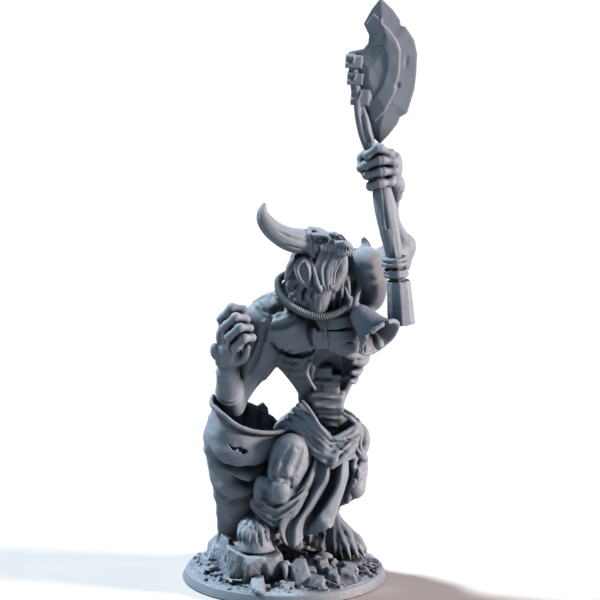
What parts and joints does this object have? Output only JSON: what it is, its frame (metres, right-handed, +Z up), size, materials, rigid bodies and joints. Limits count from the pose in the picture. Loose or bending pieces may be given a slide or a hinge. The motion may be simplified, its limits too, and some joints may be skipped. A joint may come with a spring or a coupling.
{
  "type": "minotaur miniature figure",
  "caption": "Resin miniature of an undead minotaur raising a great axe, one hoof on a rock, cast with cloth, rope and bell, on a round rubble base.",
  "frame": {"origin": "centre of the round base's flat underside", "axes": "+Z up, -Y towards the viewer of the picture, +X to the right in it"},
  "size_m": [0.0574, 0.05, 0.1425],
  "materials": {
    "grey_resin": "unpainted blue-grey casting resin, matt"
  },
  "bodies": {
    "root": {"base": "grey_resin", "minotaur": "grey_resin"}
  },
  "joints": []
}
